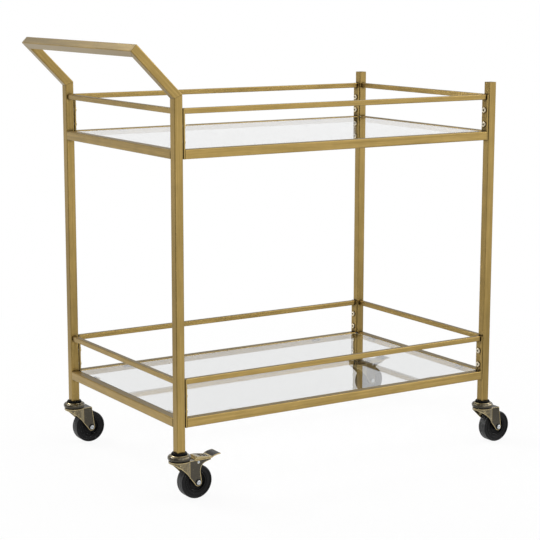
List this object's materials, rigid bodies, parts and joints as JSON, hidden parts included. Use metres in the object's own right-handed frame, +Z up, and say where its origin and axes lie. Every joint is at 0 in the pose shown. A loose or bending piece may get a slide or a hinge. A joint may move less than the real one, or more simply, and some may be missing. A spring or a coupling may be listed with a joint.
{
  "type": "bar cart",
  "caption": "Two-tier bar cart: square tube frame, drop-in glass shelves with gallery rails, slanted push handle, swivel casters with brakes.",
  "frame": {"origin": "on the floor under the middle of the cart's overall length and depth", "axes": "+X along the cart away from the handle, +Y across it to the rear side, +Z up"},
  "size_m": [0.8788, 0.4832, 0.8253],
  "materials": {
    "brushed_gold": "brushed soft gold plating on steel tube, satin, grain along the tube",
    "gold_bolt": "bright gold plated steel button head",
    "zinc": "bright zinc plated steel",
    "clear_glass": "clear tempered glass, polished edges",
    "clear_bumper": "clear soft silicone pad",
    "black_plug": "moulded black nylon",
    "antique_bronze": "dark antique bronze plated pressed steel, edges burnished to gold",
    "black_tyre": "matt black rubber",
    "black_hub": "moulded black plastic"
  },
  "bodies": {
    "cart": {"leg_front_left": "brushed_gold", "leg_rear_left": "brushed_gold", "leg_front_right": "brushed_gold", "leg_rear_right": "brushed_gold", "leg_top_caps": "brushed_gold", "handle_arm_front": "brushed_gold", "handle_arm_rear": "brushed_gold", "handle_grip": "brushed_gold", "lower_left_rail": "brushed_gold", "lower_right_rail": "brushed_gold", "upper_left_rail": "brushed_gold", "upper_right_rail": "brushed_gold", "lower_left_gallery": "brushed_gold", "lower_right_gallery": "brushed_gold", "upper_left_gallery": "brushed_gold", "upper_right_gallery": "brushed_gold", "lower_front_rail": "brushed_gold", "lower_rear_rail": "brushed_gold", "upper_front_rail": "brushed_gold", "upper_rear_rail": "brushed_gold", "lower_front_gallery": "brushed_gold", "lower_rear_gallery": "brushed_gold", "upper_front_gallery": "brushed_gold", "upper_rear_gallery": "brushed_gold", "lower_end_plates": "brushed_gold", "upper_end_plates": "brushed_gold", "plate_bolts": "gold_bolt", "rivet_nuts": "zinc", "lower_glass_tabs": "brushed_gold", "upper_glass_tabs": "brushed_gold", "lower_bumpers": "clear_bumper", "upper_bumpers": "clear_bumper", "lower_glass": "clear_glass", "upper_glass": "clear_glass", "leg_plugs": "black_plug", "caster_stems": "zinc", "caster_caps": "antique_bronze", "caster_balls": "zinc"},
    "swivel_front_left": {"fork_front_left": "antique_bronze", "axle_front_left": "zinc", "brake_pin_front_left": "zinc"},
    "wheel_front_left": {"tyre_front_left": "black_tyre", "hub_front_left": "black_hub"},
    "brake_front_left": {"brake_lever_front_left": "antique_bronze"},
    "swivel_rear_left": {"fork_rear_left": "antique_bronze", "axle_rear_left": "zinc"},
    "wheel_rear_left": {"tyre_rear_left": "black_tyre", "hub_rear_left": "black_hub"},
    "swivel_front_right": {"fork_front_right": "antique_bronze", "axle_front_right": "zinc"},
    "wheel_front_right": {"tyre_front_right": "black_tyre", "hub_front_right": "black_hub"},
    "swivel_rear_right": {"fork_rear_right": "antique_bronze", "axle_rear_right": "zinc", "brake_pin_rear_right": "zinc"},
    "wheel_rear_right": {"tyre_rear_right": "black_tyre", "hub_rear_right": "black_hub"},
    "brake_rear_right": {"brake_lever_rear_right": "antique_bronze"}
  },
  "joints": [
    {"name": "swivel_joint_front_left", "type": "hinge", "parent": "cart", "child": "swivel_front_left", "pos_m": [-0.3476, -0.22, 0.074], "axis": [0, 0, 1], "continuous": true},
    {"name": "wheel_joint_front_left", "type": "hinge", "parent": "swivel_front_left", "child": "wheel_front_left", "pos_m": [-0.3166, -0.22, 0.03175], "axis": [0, 1, 0], "continuous": true},
    {"name": "brake_joint_front_left", "type": "hinge", "parent": "swivel_front_left", "child": "brake_front_left", "pos_m": [-0.3161, -0.22, 0.07], "axis": [0, 1, 0], "range_deg": [0, 12]},
    {"name": "swivel_joint_rear_left", "type": "hinge", "parent": "cart", "child": "swivel_rear_left", "pos_m": [-0.3476, 0.22, 0.074], "axis": [0, 0, 1], "continuous": true},
    {"name": "wheel_joint_rear_left", "type": "hinge", "parent": "swivel_rear_left", "child": "wheel_rear_left", "pos_m": [-0.3166, 0.22, 0.03175], "axis": [0, 1, 0], "continuous": true},
    {"name": "swivel_joint_front_right", "type": "hinge", "parent": "cart", "child": "swivel_front_right", "pos_m": [0.3614, -0.22, 0.074], "axis": [0, 0, 1], "continuous": true},
    {"name": "wheel_joint_front_right", "type": "hinge", "parent": "swivel_front_right", "child": "wheel_front_right", "pos_m": [0.3924, -0.22, 0.03175], "axis": [0, 1, 0], "continuous": true},
    {"name": "swivel_joint_rear_right", "type": "hinge", "parent": "cart", "child": "swivel_rear_right", "pos_m": [0.3614, 0.22, 0.074], "axis": [0, 0, 1], "continuous": true},
    {"name": "wheel_joint_rear_right", "type": "hinge", "parent": "swivel_rear_right", "child": "wheel_rear_right", "pos_m": [0.3924, 0.22, 0.03175], "axis": [0, 1, 0], "continuous": true},
    {"name": "brake_joint_rear_right", "type": "hinge", "parent": "swivel_rear_right", "child": "brake_rear_right", "pos_m": [0.3929, 0.22, 0.07], "axis": [0, 1, 0], "range_deg": [0, 12]}
  ]
}
